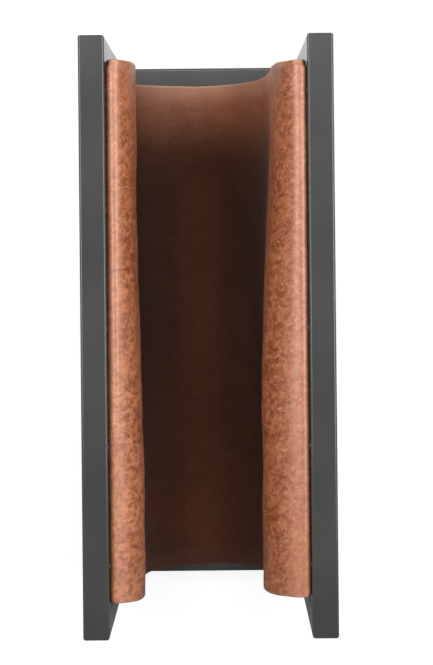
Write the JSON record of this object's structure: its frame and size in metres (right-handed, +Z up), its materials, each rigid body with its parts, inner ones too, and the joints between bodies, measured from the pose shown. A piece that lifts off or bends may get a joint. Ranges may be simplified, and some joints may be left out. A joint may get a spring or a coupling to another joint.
{
  "type": "magazine basket",
  "caption": "Floor basket for magazines: a leather sling hung between the top rails of a square steel tube frame.",
  "frame": {"origin": "centre of the footprint, on the floor", "axes": "+Z up; Y runs along the basket with -Y the front end; +X to the right"},
  "size_m": [0.193, 0.456, 0.3],
  "materials": {
    "powder_coat": "fine-textured matt anthracite powder coat",
    "sling_leather": "mottled cognac pull-up leather, smooth grain side up, soft flesh side below",
    "zinc_plate": "bright zinc plate",
    "glide_plastic": "matt black moulded plastic"
  },
  "bodies": {
    "root": {"left_top_rail": "powder_coat", "left_bottom_rail": "powder_coat", "left_front_post": "powder_coat", "left_rear_post": "powder_coat", "right_top_rail": "powder_coat", "right_bottom_rail": "powder_coat", "right_front_post": "powder_coat", "right_rear_post": "powder_coat", "front_crossbar": "powder_coat", "rear_crossbar": "powder_coat", "left_front_glide": "glide_plastic", "left_rear_glide": "glide_plastic", "right_front_glide": "glide_plastic", "right_rear_glide": "glide_plastic", "leather_sling": "sling_leather", "left_clamp_strip": "zinc_plate", "left_screw_1": "zinc_plate", "left_screw_2": "zinc_plate", "left_screw_3": "zinc_plate", "left_screw_4": "zinc_plate", "left_screw_5": "zinc_plate", "left_rivet_nut_1": "zinc_plate", "left_rivet_nut_2": "zinc_plate", "left_rivet_nut_3": "zinc_plate", "left_rivet_nut_4": "zinc_plate", "left_rivet_nut_5": "zinc_plate", "right_clamp_strip": "zinc_plate", "right_screw_1": "zinc_plate", "right_screw_2": "zinc_plate", "right_screw_3": "zinc_plate", "right_screw_4": "zinc_plate", "right_screw_5": "zinc_plate", "right_rivet_nut_1": "zinc_plate", "right_rivet_nut_2": "zinc_plate", "right_rivet_nut_3": "zinc_plate", "right_rivet_nut_4": "zinc_plate", "right_rivet_nut_5": "zinc_plate"}
  },
  "joints": []
}
